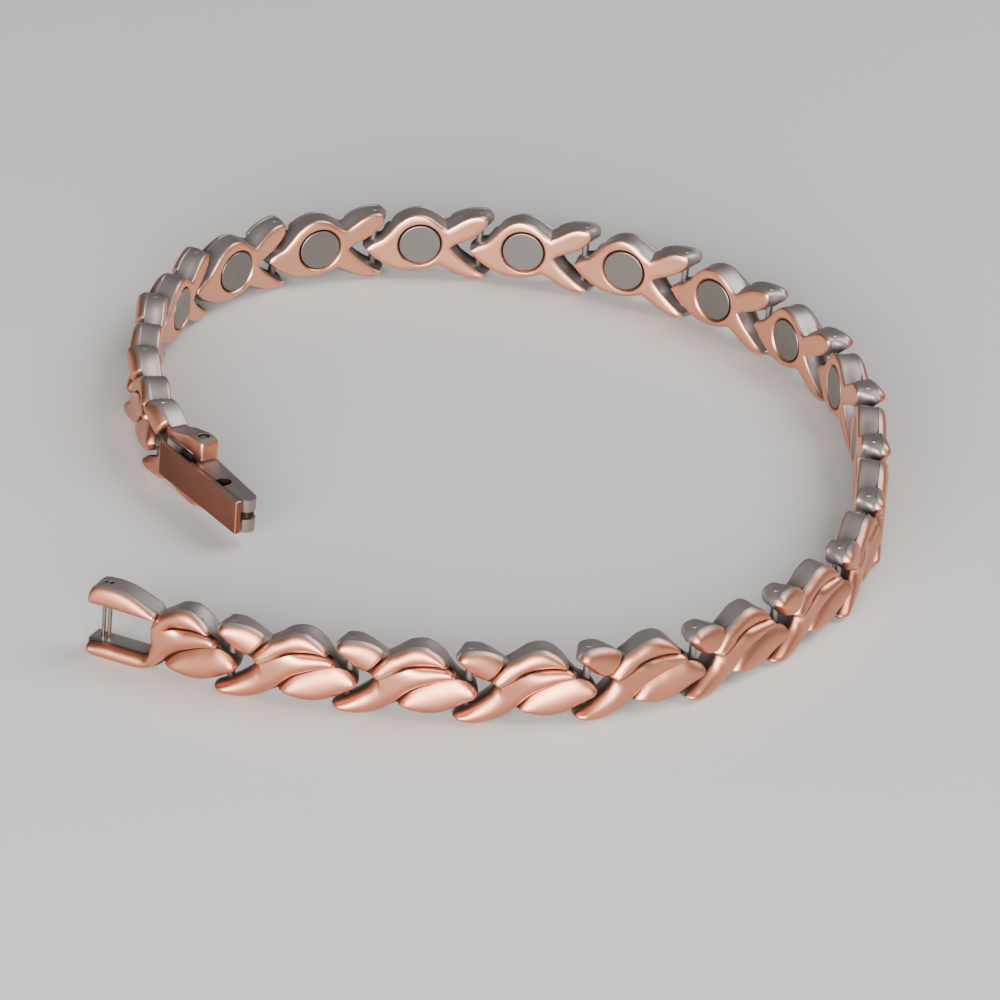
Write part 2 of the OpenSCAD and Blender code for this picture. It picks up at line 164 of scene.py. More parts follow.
# Side view of a link, (along, height): each raised form has an upper and a lower curve
PETAL = (((-1.07, 5.3), (-0.84, 5.66), (-0.3, 5.9), (0.85, 5.86), (1.85, 5.54), (2.6, 5.03)),
         ((-1.03, 5.08), (-0.6, 4.66), (-0.1, 4.17), (0.45, 3.73), (1.14, 3.38)))
CREST = (((1.42, 3.36), (1.98, 4.14), (2.66, 4.84), (3.4, 5.23), (4.35, 5.75), (5.25, 5.85),
          (6.1, 5.53), (6.72, 5.08), (7.16, 4.56)),
         ((1.93, 3.05), (2.85, 3.6), (3.55, 3.93), (4.25, 4.18), (4.95, 4.34), (5.7, 4.44),
          (6.4, 4.48), (7.1, 4.42)))
RIBBON = (((-1.1, 0.72), (-0.1, 1.16), (0.75, 1.71), (1.45, 2.28), (2.0, 3.07), (2.85, 3.57), (3.55, 3.9),
           (4.25, 4.15), (4.95, 4.31), (5.7, 4.42), (6.4, 4.46), (7.1, 4.42), (7.66, 4.18)),
          ((-1.06, 0.4), (-0.22, 0.1), (0.74, 0.0), (1.75, 0.22), (2.67, 0.64), (3.44, 1.18), (3.98, 1.76),
           (4.53, 2.28), (5.09, 2.6), (5.6, 2.83), (6.15, 3.1), (6.9, 3.38), (7.82, 3.6)))
LEAF = (((3.6, 1.16), (4.1, 1.76), (4.62, 2.22), (5.15, 2.52), (5.65, 2.76), (6.2, 3.04), (6.95, 3.32),
         (7.7, 3.53), (8.37, 3.41), (8.93, 3.12), (9.33, 2.76)),
        ((3.66, 1.02), (4.3, 0.77), (4.95, 0.55), (5.6, 0.45), (6.3, 0.5), (6.95, 0.68), (7.5, 0.95),
         (8.1, 1.31), (8.73, 1.74), (9.14, 2.06), (9.4, 2.42)))

# Each stretch of the outline: how many points it gets, how it runs in the outer and in the inner
# part of the link, and how dark its wall is, with patina and painted shade in the joints
JOINT_SHADE_AND_PATINA = 0.95
STRETCHES = (
    (13, ((-1.08, 5.08), (-1.12, 5.32), (-0.88, 5.66), (-0.3, 5.87), (0.85, 5.83), (1.85, 5.52), (2.55, 5.0)),
         ((-0.5, 5.2), (-0.52, 5.45), (-0.38, 5.72), (-0.05, 5.86), (0.75, 5.82), (1.5, 5.48), (2.2, 5.0))),
    (12, ((2.82, 4.84), (3.4, 5.22), (4.35, 5.73), (5.25, 5.83), (6.12, 5.5), (6.75, 5.03), (7.18, 4.52)),
         ((2.75, 4.62), (3.35, 5.0), (4.15, 5.6), (4.85, 5.82), (5.5, 5.83), (6.2, 5.5), (6.85, 4.92))),
    (8, ((7.6, 4.2), (7.95, 3.6), (8.4, 3.38), (8.93, 3.08), (9.3, 2.76), (9.36, 2.42)),
        ((7.3, 4.3), (7.9, 3.62), (8.3, 3.4), (8.7, 3.18), (9.05, 2.96), (9.2, 2.62)), JOINT_SHADE_AND_PATINA),
    (12, ((9.12, 2.08), (8.7, 1.76), (8.1, 1.34), (7.5, 0.98), (6.95, 0.7), (6.3, 0.52), (5.6, 0.46),
          (4.9, 0.56), (4.2, 0.8)),
         ((8.85, 2.14), (8.5, 1.84), (8.1, 1.62), (7.6, 1.34), (7.1, 1.08), (6.6, 0.94), (6.05, 0.86),
          (5.0, 0.88), (4.0, 1.12))),
    (10, ((3.55, 1.1), (2.67, 0.64), (1.75, 0.22), (0.74, 0.03), (-0.22, 0.11), (-0.9, 0.36), (-1.08, 0.58)),
         ((3.25, 1.44), (2.4, 0.98), (1.55, 0.54), (0.75, 0.25), (-0.1, 0.25), (-0.5, 0.42), (-0.5, 0.6))),
    (10, ((-0.98, 0.76), (-0.55, 0.93), (-0.1, 1.14), (0.75, 1.68), (1.45, 2.26), (1.98, 2.98)),
         ((-0.45, 0.7), (-0.05, 0.86), (0.4, 1.12), (0.8, 1.42), (1.65, 2.12), (2.4, 2.95)), JOINT_SHADE_AND_PATINA),
    (10, ((1.3, 3.34), (0.45, 3.74), (-0.1, 4.18), (-0.6, 4.68), (-1.0, 4.98)),
         ((2.05, 3.22), (1.35, 3.54), (0.55, 3.96), (-0.1, 4.5), (-0.45, 4.95)), JOINT_SHADE_AND_PATINA),
)


def smooth_point(p, x):
    """The point at x from 0 to 1 of the smooth curve through the given points p."""
    n = len(p) - 1
    i = min(int(x * n), n - 1)
    t = x * n - i
    a, b, c, d = p[max(i - 1, 0)], p[i], p[i + 1], p[min(i + 2, n)]
    return Vector([0.5 * (2 * b[j] + (c[j] - a[j]) * t + (2 * a[j] - 5 * b[j] + 4 * c[j] - d[j]) * t * t
                          + (3 * b[j] - a[j] - 3 * c[j] + d[j]) * t ** 3) for j in (0, 1)])


class Path:
    """A smooth curve that is walked by its length."""

    def __init__(self, points, steps=120):
        self.at = [smooth_point(points, i / steps) for i in range(steps + 1)]
        self.run = [0.0]
        for a, b in zip(self.at, self.at[1:]):
            self.run.append(self.run[-1] + (b - a).length)
        self.length = self.run[-1]

    def __call__(self, s):
        want = min(max(s, 0.0), 1.0) * self.length
        lo, hi = 0, len(self.run) - 1
        while hi - lo > 1:
            mid = (lo + hi) // 2
            if self.run[mid] <= want:
                lo = mid
            else:
                hi = mid
        part = (want - self.run[lo]) / max(self.run[hi] - self.run[lo], 1e-9)
        return self.at[lo].lerp(self.at[hi], part)


def part_of(points, lo, hi, steps=24):
    """A stretch of a smooth curve, as a row of points."""
    path = Path(points)
    return [path(lo + (hi - lo) * i / steps) for i in range(steps + 1)]


def moved(points, d):
    """Points moved along the link."""
    return tuple((p[0] + d, p[1]) for p in points)


def near(p, lines):
    """Distance from p to the nearest of the given rows of points."""
    best = 9.0
    for line in lines:
        for a, b in zip(line, line[1:]):
            ab = b - a
            t = min(max((p - a).dot(ab) / max(ab.dot(ab), 1e-9), 0), 1)
            best = min(best, (p - a - ab * t).length)
    return best


def ease(x, lo, hi):
    """Rises smoothly from 0 at lo to 1 at hi."""
    t = min(max((x - lo) / (hi - lo), 0), 1)
    return t * t * (3 - 2 * t)


def window(x, a, b, c, d):
    """Rises from a to b and falls from c to d."""
    return ease(x, a, b) * (1 - ease(x, c, d))


def crowd(x, even):
    """Moves evenly spaced x towards 0 and 1, where the forms curve most."""
    return even * x + (1 - even) * (0.5 - 0.5 * math.cos(math.pi * x))


# Parts of a link
INNER = -1.05            # the inner face, measured outward from the line of the pins
BODY_TOP = 0.56          # the body's outer face, hidden by the raised forms
EDGE_LOW = 0.48          # where the raised forms' upright edges end, inside the body
LINK_TOP = 5.97          # no part of a link is higher
INNER_ROUND = 0.27       # rounding of the inner face's edge
SOFT_FACE = 0.045        # how much the inner face is crowned
MAGNET_AT = (4.9, 3.25)  # the magnet's middle, (along, height)
MAGNET_R, SEAT_R, RIM_R = 1.65, 1.71, 1.9
MAGNET_FRONT, MAGNET_BACK, MAGNET_ROUND = -1.02, -0.125, 0.07
HELD = 0.88              # how much of its height a raised form keeps at a joined edge
LAP = 0.16               # how far a form reaches over its neighbour where they are joined
FOOT_IN = 0.07           # how far the foot of an upright edge is pulled in
NEVER = (2, 3, 4, 5)     # a window that stays shut
FROM_START = (-2, -1)    # a rise that is over before the start
SHARP = math.radians(38)


def layers(bm):
    """Masks that the finishes read: grey walls, dark patina with painted shade in recesses, joints and gaps,
    and worn bright edges with painted highlights in places.
    """
    names = ("side", "groove", "wear_and_sheen")
    return [bm.verts.layers.float.get(n) or bm.verts.layers.float.new(n) for n in names]


def below_top(height):
    """1 on most of a wall and 0 close to the top, where the joints get neither patina nor painted shade."""
    return 1 - ease(height, 4.7, 5.2)


def extruded_rim(bm, rim):
    """Extrudes a closed rim of edges; returns the new vertices and the new rim."""
    made = bmesh.ops.extrude_edge_only(bm, edges=rim)["geom"]
    verts = [g for g in made if isinstance(g, bmesh.types.BMVert)]
    new = set(verts)
    return verts, [g for g in made if isinstance(g, bmesh.types.BMEdge) and new.issuperset(g.verts)]


def extruded_face(bm, face):
    """Extrudes a face; returns the new face."""
    made = bmesh.ops.extrude_face_region(bm, geom=[face])["geom"]
    return next(g for g in made if isinstance(g, bmesh.types.BMFace))


def raised_form(bm, over, under, creases, crown, start=0.5, end=0.5, start_tip=0.0, end_tip=0.0,
                rows=34, cols=14, edges=(0.6, 0.6), full=(0.75, 0.75), tuck=(0.0, 0.0),
                joined=(NEVER, NEVER), peak=0.0, plated=0.0, plate=FROM_START, meets=1.37):
    """A domed form between an upper and a lower curve, with upright edges that reach into the body.

    crown: its height; start, end: how long its slopes are; start_tip, end_tip: how long its round tips are;
    edges: how far out each long edge stands; full: lower is boxier, higher is rounder;
    tuck: how much of the dome each long edge keeps; joined: the window where it keeps most of it;
    meets: the height it has there; peak: where the crown lies, from -1 above to 1 below;
    plated: how grey it turns towards the top wall; plate: where along it that begins."""
    side, groove, wear_and_sheen = layers(bm)
    top, low = Path(over), Path(under)
    length = 0.5 * (top.length + low.length)
    made = bmesh.ops.create_grid(bm, x_segments=rows, y_segments=cols, size=0.5)["verts"]
    greyed, inwards = {}, {}
    for v in made:
        s, t = crowd(v.co.x + 0.5, 0.55), crowd(v.co.y + 0.5, 0.35)
        a, b = top(s) + Vector((0, 0.02 if plated else 0)), low(s)
        narrow = fall = 1.0
        for gone, slope, tip in ((s * length, start, start_tip), ((1 - s) * length, end, end_tip)):
            if tip and gone < tip:
                narrow *= math.sqrt(max(1 - (1 - gone / tip) ** 2, 0.0)) * 0.92 + 0.08
            if gone < slope:
                fall *= max(1 - (1 - gone / slope) ** 2.2, 0) ** 0.5
        t = 0.5 + (t - 0.5) * narrow
        p = a.lerp(b, t)
        across = (2 * t - 1) / narrow
        q = (across - peak) / (1 + peak if across < peak else 1 - peak)
        which = 0 if q < 0 else 1
        opens = joined[which]
        held = HELD * window(s, *opens)
        kept = max(tuck[which], held)
        lap = LAP * (1 - ease(s, *opens[2:])) if opens[:2] == FROM_START else 0
        p = p + (b - a).normalized() * lap * max(across, 0) ** 4
        rise = max(1 - (abs(q) * (1 - kept)) ** 2, 0) ** full[which] * fall
        edge = edges[0] + (edges[1] - edges[0]) * ease(q, -1, 1)
        height = crown + (meets - crown) * held
        v.co = (p.x, edge + (height - edge) * rise, min(max(p.y, 0.0), LINK_TOP))
        row = min(max(s, 0.06), 0.94)
        inwards[v] = 0.5 * (top(row) + low(row)) - p
        greyed[v] = plated * ease(s, *plate)
        close = near(p, creases)
        v[side] = ease(-across, 0.8, 1.0) if plated else 0.0
        # dark patina with painted shade along the creases and towards the form's low edges
        low_edge = 0.0 if plated and q < 0 else 0.8 * (1 - ease(rise, 0.05, 0.4)) * (1 - kept)
        deep = (1 - ease(close, 0.03, 0.14)) * (1 - 0.7 * kept) * (1 - ease(rise, 0.5, 0.9))
        v[groove] = max(low_edge, deep, 0.85 * held * (1 - ease(close, 0.02, 0.09)))
        v[wear_and_sheen] = (1 - ease(close, 0.2, 0.45)) * window(rise, 0.45, 0.7, 0.9, 1.0)
    if plated:
        bm.normal_update()
        for v in made:
            v[side] = greyed[v] * max(ease(v.normal.z, 0.66, 0.95), v[side])
    rim = list(dict.fromkeys(e for v in made for e in v.link_edges if e.is_boundary))
    foot, base = extruded_rim(bm, rim)
    for v in foot:
        inward = next(inwards[e.other_vert(v)] for e in v.link_edges if e.other_vert(v) in inwards)
        inward = inward.normalized() * min(FOOT_IN, 0.3 * inward.length)
        v.co = (v.co.x + inward.x, EDGE_LOW, v.co.z + inward.y)
        # the upright edges are grey, with dark patina and painted shade down in the creases
        v[side], v[groove] = 1.0, 0.9 * below_top(v.co.z)
    bmesh.ops.holes_fill(bm, edges=base, sides=0)


def ring_of(stretches, inner):
    """Points of the outline, each stretch with its own share."""
    ring = []
    for stretch in stretches:
        path = Path(stretch[2 if inner else 1])
        ring += [path(i / (stretch[0] - 1)) for i in range(stretch[0])]
    return ring


def shade_and_patina_of(stretches):
    """How dark the wall is along the outline, with patina and painted shade in the joints, softened where
    stretches meet.
    """
    dark = [stretch[3] if len(stretch) > 3 else 0.0 for stretch in stretches for _ in range(stretch[0])]
    for _ in range(2):
        dark = [(dark[i - 1] + 2 * d + dark[(i + 1) % len(dark)]) / 4 for i, d in enumerate(dark)]
    return dark


def reach_in(ring, magnet_at, most=0.7):
    """For each point of the ring, the way inwards and how far it is free."""
    n = len(ring)
    closed = [ring + ring[:1]]
    out = []
    for i, p in enumerate(ring):
        run = (ring[(i + 1) % n] - ring[i - 1]).normalized()
        inward = Vector((run.y, -run.x))
        far = most
        while far > 0.03 and (near(p + inward * far, closed) < 0.93 * far
                              or magnet_at and (p + inward * far - Vector(magnet_at)).length < RIM_R + 0.1):
            far *= 0.92
        out.append((inward, far))
    return out


def link_body(bm, stretches, magnet_at=None):
    """The cast body: its outline changes from the outer to the inner one, with rounded inner edges."""
    side, groove, wear_and_sheen = layers(bm)
    mark = bm.verts.layers.int.get("mark") or bm.verts.layers.int.new("mark")
    outer, inner, patina = ring_of(stretches, False), ring_of(stretches, True), shade_and_patina_of(stretches)
    blend = [a.lerp(b, 0.45) for a, b in zip(outer, inner)]
    room = reach_in(inner, magnet_at)
    # each ring: outward place, outline, how far it is pulled in, grey, dark everywhere, dark in the joints;
    # the darkness is patina with painted shade
    rings = [(BODY_TOP - 0.03, outer, 0.0, 1.0, 0.45, 1.0), (0.2, outer, 0.0, 1.0, 0.0, 0.95),
             (-0.3, blend, 0.0, 1.0, 0.0, 0.4), (-0.62, inner, 0.0, 1.0, 0.0, 0.0),
             (INNER + INNER_ROUND, inner, 0.0, 1.0, 0.0, 0.0)]
    for angle, grey in ((20, 0.9), (42, 0.0), (66, 0.0), (90, 0.0)):
        a = math.radians(angle)
        out = INNER + SOFT_FACE + (INNER_ROUND - SOFT_FACE) * (1 - math.sin(a))
        rings.append((out, inner, INNER_ROUND * (1 - math.cos(a)), grey, 0.0, 0.0))
    rings += [(INNER, inner, 0.5, 0.0, 0.0, 0.0), (INNER, inner, 0.6, 0.0, 0.0, 0.0)]
    start = []
    for i, p in enumerate(outer):
        v = bm.verts.new((p.x, BODY_TOP, p.y))
        v[mark], v[side], v[groove] = i, 1.0, below_top(p.y)
        start.append(v)
    face = bm.faces.new(start)
    for step, (out, ring, by, grey, dark, joint) in enumerate(rings):
        old, face = face, extruded_face(bm, face)
        if step:
            bm.faces.remove(old)
        placed = [p + way * far * math.tanh(by / far) for p, (way, far) in zip(ring, room)] if by else ring
        for v in face.verts:
            p = placed[v[mark]]
            v.co = (p.x, out, p.y)
            v[side], v[groove] = grey, max(dark * below_top(p.y), joint * patina[v[mark]])
            # the inner face and its rounding are marked worn, and partly brightened as a painted sheen
            v[wear_and_sheen] = 0.9 if by else 0.0
    if magnet_at:
        edges = list(face.edges)
        bm.faces.remove(face)
        seat(bm, edges, magnet_at)


def seat(bm, around, at):
    """The magnet's seat: a bevelled rim marked worn and painted bright as a highlight, and a wall dark with
    patina and painted shade, open to the inner face.
    """
    side, groove, wear_and_sheen = layers(bm)
    circle = bmesh.ops.create_circle(bm, segments=56, radius=RIM_R + 0.02, cap_ends=False)["verts"]
    for v in circle:
        v.co = (at[0] + v.co.x, INNER, at[1] + v.co.y)
        # the rim circle is marked worn, partly as a painted highlight
        v[wear_and_sheen] = 0.9
    loop = list(dict.fromkeys(e for v in circle for e in v.link_edges))
    bmesh.ops.triangle_fill(bm, edges=around + loop, use_beauty=True, normal=(0, -1, 0))
    # each ring: radius, depth below the inner face, how dark (patina and painted shade in the gap round the
    # magnet), how worn and bright (partly a painted highlight on the bevel)
    for radius, deep, dark, worn in ((RIM_R, 0.0, 0.0, 0.0), (RIM_R - 0.04, 0.012, 0.0, 1.0),
                                     (SEAT_R + 0.05, 0.15, 0.0, 1.0), (SEAT_R, 0.24, 0.6, 0.0),
                                     (SEAT_R - 0.01, 0.95, 1.0, 0.0)):
        verts, loop = extruded_rim(bm, loop)
        for v in verts:
            away = Vector((v.co.x - at[0], v.co.z - at[1])).normalized() * radius
            v.co = (at[0] + away.x, INNER + deep, at[1] + away.y)
            v[side], v[groove], v[wear_and_sheen] = 0.0, dark, worn
    bmesh.ops.holes_fill(bm, edges=loop, sides=0)


def cleaned(bm):
    bmesh.ops.remove_doubles(bm, verts=bm.verts, dist=0.0005)
    bmesh.ops.recalc_face_normals(bm, faces=bm.faces)
    return bm


def join(bm, other):
    """Adds another bmesh to a bmesh."""
    mesh = bpy.data.meshes.new("joined")
    other.to_mesh(mesh)
    other.free()
    bm.from_mesh(mesh)
    bpy.data.meshes.remove(mesh)


# The links
PETAL_FORM = dict(crown=1.34, start=0.9, end=0.3, start_tip=0.5, end_tip=0.3, edges=(0.62, 0.58),
                  full=(0.62, 0.72), peak=0.2, plated=1.0)
CREST_FORM = dict(crown=1.28, end=0.5, end_tip=0.25, rows=44, edges=(0.62, 0.6), full=(0.62, 0.8),
                  tuck=(0, 0.12), peak=0.15, plated=1.0)
LEAF_FORM = dict(crown=1.3, start=1.2, end=0.8, start_tip=0.3, end_tip=0.45, rows=44, full=(0.85, 0.7),
                 tuck=(0.1, 0), peak=0.3)


def chain_link_form():
    bm = bmesh.new()
    slit = [Vector((2.64, 4.96)), Vector((2.22, 4.44)), Vector((1.87, 4.06)), Vector((1.25, 3.38))]
    creases = [part_of(RIBBON[0], 0.4, 0.97), part_of(RIBBON[1], 0.44, 1.0), slit]
    link_body(bm, STRETCHES, MAGNET_AT)
    raised_form(bm, *PETAL, creases, **PETAL_FORM)
    raised_form(bm, *CREST, creases, **CREST_FORM, start=0.35, joined=(NEVER, (*FROM_START, 0.1, 0.5)),
                plate=(0.16, 0.4), meets=1.35)
    raised_form(bm, *RIBBON, creases, crown=1.37, start=1.0, end=0.5, start_tip=0.5, end_tip=0.25, rows=64,
                full=(0.6, 0.55), joined=((0.395, 0.43, 0.45, 0.78), NEVER), peak=0.1)
    raised_form(bm, *LEAF, creases, **LEAF_FORM)
    return cleaned(bm)


ARM_GAP = (
    (8, ((-1.12, 1.22), (0.5, 1.22), (2.2, 1.22), (3.88, 1.22)),
        ((-1.05, 1.22), (0.5, 1.22), (2.2, 1.22), (3.88, 1.22))),
    (6, ((4.0, 1.34), (4.0, 2.8), (4.0, 4.21)), ((4.0, 1.34), (4.0, 2.8), (4.0, 4.21))),
    (8, ((3.88, 4.33), (2.2, 4.33), (0.5, 4.33), (-1.06, 4.33)),
        ((3.88, 4.33), (2.2, 4.33), (0.5, 4.33), (-1.0, 4.33))))
CATCH_TOP = ((-1.12, 4.45), (-1.12, 5.1), (-0.8, 5.7), (0, 5.92), (1.1, 5.92), (2.2, 5.71), (3.2, 5.34),
             (4.1, 4.94))
CATCH_LOW = (((5.09, 1.1), (4.3, 0.55), (3.3, 0.13), (2.0, 0.02), (0.5, 0.02), (-0.7, 0.12), (-1.08, 0.42),
              (-1.13, 0.9)),
             ((4.79, 1.3), (4.2, 0.62), (3.3, 0.15), (2.0, 0.03), (0.5, 0.03), (-0.6, 0.13), (-1.0, 0.43),
              (-1.05, 0.9)))
UPPER_ARM = (((-1.13, 5.1), (-0.81, 5.71), (0, 5.93), (1.1, 5.93), (2.2, 5.72), (3.2, 5.35), (4.3, 4.86)),
             ((-1.12, 4.5), (-0.8, 4.31), (0.2, 4.31), (1.4, 4.31), (2.9, 4.31), (4.38, 4.34)))
CATCH_RIBBON = (((-1.13, 1.0), (0.2, 1.24), (1.5, 1.24), (2.8, 1.24), (3.7, 1.27), (4.0, 1.65), (4.02, 2.6),
                 (4.12, 3.2), (4.5, 3.66), (5.1, 3.95), (5.8, 4.17), (6.5, 4.32), (7.25, 4.43), (7.95, 4.47),
                 (8.65, 4.43), (9.2, 4.18)),
                ((-1.1, 0.45), (-0.6, 0.07), (0.5, 0.0), (2.0, 0.0), (3.2, 0.08), (4.2, 0.42), (4.85, 0.85),
                 (5.2, 1.36), (5.55, 1.8), (6.1, 2.28), (6.65, 2.6), (7.15, 2.83), (7.7, 3.09), (8.4, 3.36),
                 (9.36, 3.6)))
CATCH_CREST = (((3.99, 4.05), (4.43, 4.76), (4.95, 5.22), (5.89, 5.75), (6.79, 5.85), (7.64, 5.53),
                (8.26, 5.08), (8.7, 4.56)),
               ((4.0, 3.4), (4.5, 3.7), (5.09, 3.98), (5.79, 4.19), (6.49, 4.35), (7.24, 4.45),
                (7.94, 4.49), (8.64, 4.42)))


def catch_link_form():
    """Two arms round a square gap, in front of the same body as the other links."""
    bm = bmesh.new()
    body = tuple((st[0], moved(st[1], SHIFT), moved(st[2], SHIFT)) + st[3:] for st in STRETCHES[1:4])
    stretches = ((14, CATCH_TOP, CATCH_TOP),) + body + ((14,) + CATCH_LOW,) + ARM_GAP
    creases = [part_of(CATCH_RIBBON[0], 0.66, 0.98), part_of(moved(RIBBON[1], SHIFT), 0.44, 1.0),
               [Vector((4.36, 4.92)), Vector((4.38, 4.5)), Vector((4.1, 4.24))]]
    link_body(bm, stretches, (MAGNET_AT[0] + SHIFT, MAGNET_AT[1]))
    raised_form(bm, *UPPER_ARM, creases, crown=1.3, start=0.4, end=0.2, start_tip=0.15, end_tip=0.1, rows=40,
                edges=(0.72, 0.7), full=(0.5, 0.5), peak=0.3, plated=1.0)
    raised_form(bm, *CATCH_CREST, creases, **CREST_FORM, start=0.3,
                joined=(NEVER, (*FROM_START, 0.12, 0.42)), plate=(0.08, 0.3), meets=1.34)
    raised_form(bm, *CATCH_RIBBON, creases, crown=1.36, start=0.4, end=0.5, start_tip=0.2, end_tip=0.25,
                rows=68, edges=(0.66, 0.6), full=(0.5, 0.55), joined=((0.54, 0.57, 0.62, 0.78), NEVER),
                peak=0.1, meets=1.36)
    raised_form(bm, moved(LEAF[0], SHIFT), moved(LEAF[1], SHIFT), creases, **LEAF_FORM)
    return cleaned(bm)


LAST_STRETCHES = (
    (13, ((-1.08, 5.08), (-1.12, 5.32), (-0.88, 5.66), (-0.3, 5.86), (0.6, 5.8), (1.4, 5.48), (2.0, 5.02)),
         ((-0.5, 5.2), (-0.52, 5.45), (-0.38, 5.7), (-0.05, 5.84), (0.6, 5.79), (1.35, 5.46), (2.0, 5.0))),
    (10, ((2.25, 4.86), (2.46, 4.7), (2.5, 4.2), (2.5, 3.0), (2.5, 1.4), (2.46, 0.5), (2.3, 0.3)),
         ((2.25, 4.84), (2.46, 4.7), (2.5, 4.2), (2.5, 3.0), (2.5, 1.4), (2.46, 0.5), (2.3, 0.32))),
    (10, ((2.0, 0.22), (1.4, 0.12), (0.74, 0.03), (-0.22, 0.11), (-0.9, 0.36), (-1.08, 0.58)),
         ((2.0, 0.26), (1.4, 0.18), (0.74, 0.12), (-0.1, 0.25), (-0.5, 0.42), (-0.5, 0.6))),
    (10, ((-0.98, 0.76), (-0.55, 0.93), (-0.1, 1.14), (0.75, 1.68), (1.35, 2.2)),
         ((-0.45, 0.7), (-0.05, 0.86), (0.4, 1.12), (0.8, 1.55), (1.4, 2.2)), JOINT_SHADE_AND_PATINA),
    (6, ((1.42, 2.3), (1.42, 3.16)), ((1.44, 2.3), (1.44, 3.16)), JOINT_SHADE_AND_PATINA),
    (10, ((1.2, 3.3), (0.95, 3.42), (0.3, 3.74), (-0.15, 4.16), (-0.6, 4.66), (-1.0, 4.98)),
         ((1.3, 3.34), (1.0, 3.5), (0.5, 3.8), (0.1, 4.2), (-0.3, 4.66), (-0.45, 4.98)), JOINT_SHADE_AND_PATINA))
LAST_PETAL = (((-1.07, 5.3), (-0.84, 5.66), (-0.3, 5.88), (0.6, 5.84), (1.4, 5.52), (2.08, 5.04)),
              ((-1.03, 5.08), (-0.6, 4.66), (-0.15, 4.17), (0.3, 3.75), (1.0, 3.4)))
LAST_RIBBON = (((-1.1, 0.72), (-0.1, 1.16), (0.75, 1.71), (1.4, 2.24), (1.44, 3.1), (1.75, 3.5)),
               ((-1.06, 0.4), (-0.22, 0.1), (0.74, 0.0), (1.75, 0.18), (2.35, 0.9), (2.5, 2.4)))
ARM_UP = ((1.9, 4.33), (1.9, 4.86), (2.4, 4.84), (2.9, 4.95), (3.8, 5.25), (4.8, 5.6), (5.7, 5.84),
          (6.5, 5.88), (6.95, 5.78), (7.06, 5.55), (7.06, 4.33))
ARM_DOWN = ((1.9, 1.22), (7.06, 1.22), (7.04, 0.8), (6.78, 0.32), (6.2, 0.09), (5.2, 0.03), (4.0, 0.12),
            (2.9, 0.3), (1.9, 0.24))
ARM_HALF, ARM_ROUND = 0.8, 0.22


def round_edges(bm, edges, width, segments=3, margin=0.3):
    """Rounds the sharp edges, marks them as worn and keeps the flat faces flat inside a margin."""
    wear_and_sheen = layers(bm)[2]
    sharp = [e for e in edges if e.is_valid and len(e.link_faces) == 2 and e.calc_face_angle(0) > 0.42]
    made = bmesh.ops.bevel(bm, geom=sharp, offset=width, offset_type="OFFSET", affect="EDGES",
                           segments=segments, profile=0.5, clamp_overlap=True, material=-1)["faces"]
    new = set(made)
    flat = {}
    for f in made:
        for v in f.verts:
            v[wear_and_sheen] = 1.0 if all(g in new for g in v.link_faces) else 0.0
            flat.update(dict.fromkeys(g for g in v.link_faces if g not in new))
    bmesh.ops.inset_individual(bm, faces=list(flat), thickness=margin * width, use_even_offset=True)


def edges_round(verts, top):
    """The edges of the faces that meet the given vertices, and of the top face."""
    faces = dict.fromkeys([f for v in verts for f in v.link_faces] + [top])
    return list(dict.fromkeys(e for f in faces for e in f.edges))


def arm(bm, outline):
    """An arm of the fork: a side outline with thickness and rounded edges."""
    start = [bm.verts.new((p[0], -ARM_HALF, p[1])) for p in outline]
    outer = extruded_face(bm, bm.faces.new(start))
    for v in outer.verts:
        v.co.y = ARM_HALF
    round_edges(bm, edges_round(start, outer), ARM_ROUND, margin=0.12)


def grey_top_and_bottom(bm):
    """Marks the faces that look up or down as grey walls."""
    side = layers(bm)[0]
    bm.normal_update()
    for v in bm.verts:
        v[side] = ease(abs(v.normal.z), 0.68, 0.92)


def last_link_form():
    """Prongs like the other links' at one end, and the clasp's fork at the other."""
    arms = bmesh.new()
    arm(arms, ARM_UP)
    arm(arms, ARM_DOWN)
    bmesh.ops.recalc_face_normals(arms, faces=arms.faces)
    grey_top_and_bottom(arms)
    groove = layers(arms)[1]
    for v in arms.verts:
        if v.co.x < 2.6:
            v[groove] = 0.6 * (1 - ease(v.co.x, 2.3, 2.6))
    bm = bmesh.new()
    link_body(bm, LAST_STRETCHES)
    creases = [[Vector((2.1, 5.0)), Vector((1.5, 4.2)), Vector((1.0, 3.4))]]
    raised_form(bm, *LAST_PETAL, creases, **PETAL_FORM)
    raised_form(bm, *LAST_RIBBON, creases, crown=1.3, start=1.0, end=0.4, start_tip=0.5, full=(0.62, 0.6))
    cleaned(bm)
    join(bm, arms)
    return bm


# Magnets, pins and holes
PIN_LOW = 0.42
JOINT_PIN_GREY, PIVOT_PIN_GREY = 5.7, 5.6    # a pin's end is grey above this height
JOINT_PIN = dict(low=PIN_LOW, high=5.9, radius=0.28)
PIVOT_PIN = dict(low=PIN_LOW, high=5.72, radius=0.35, width=0.08)
ROD_R, ROD_OFF = 0.16, 0.23
ROD_TOPS = ((-ROD_OFF, 5.82), (ROD_OFF, 5.66))
HOLE_CHAMFER = 0.035
ROD_HOLES = ((-ROD_OFF, 0, 5.5, 0.175), (ROD_OFF, 0, 5.5, 0.175))    # (along, outward, low, radius)
PIVOT_HOLE = (PIVOT_REACH, 0, 5.2, 0.43)


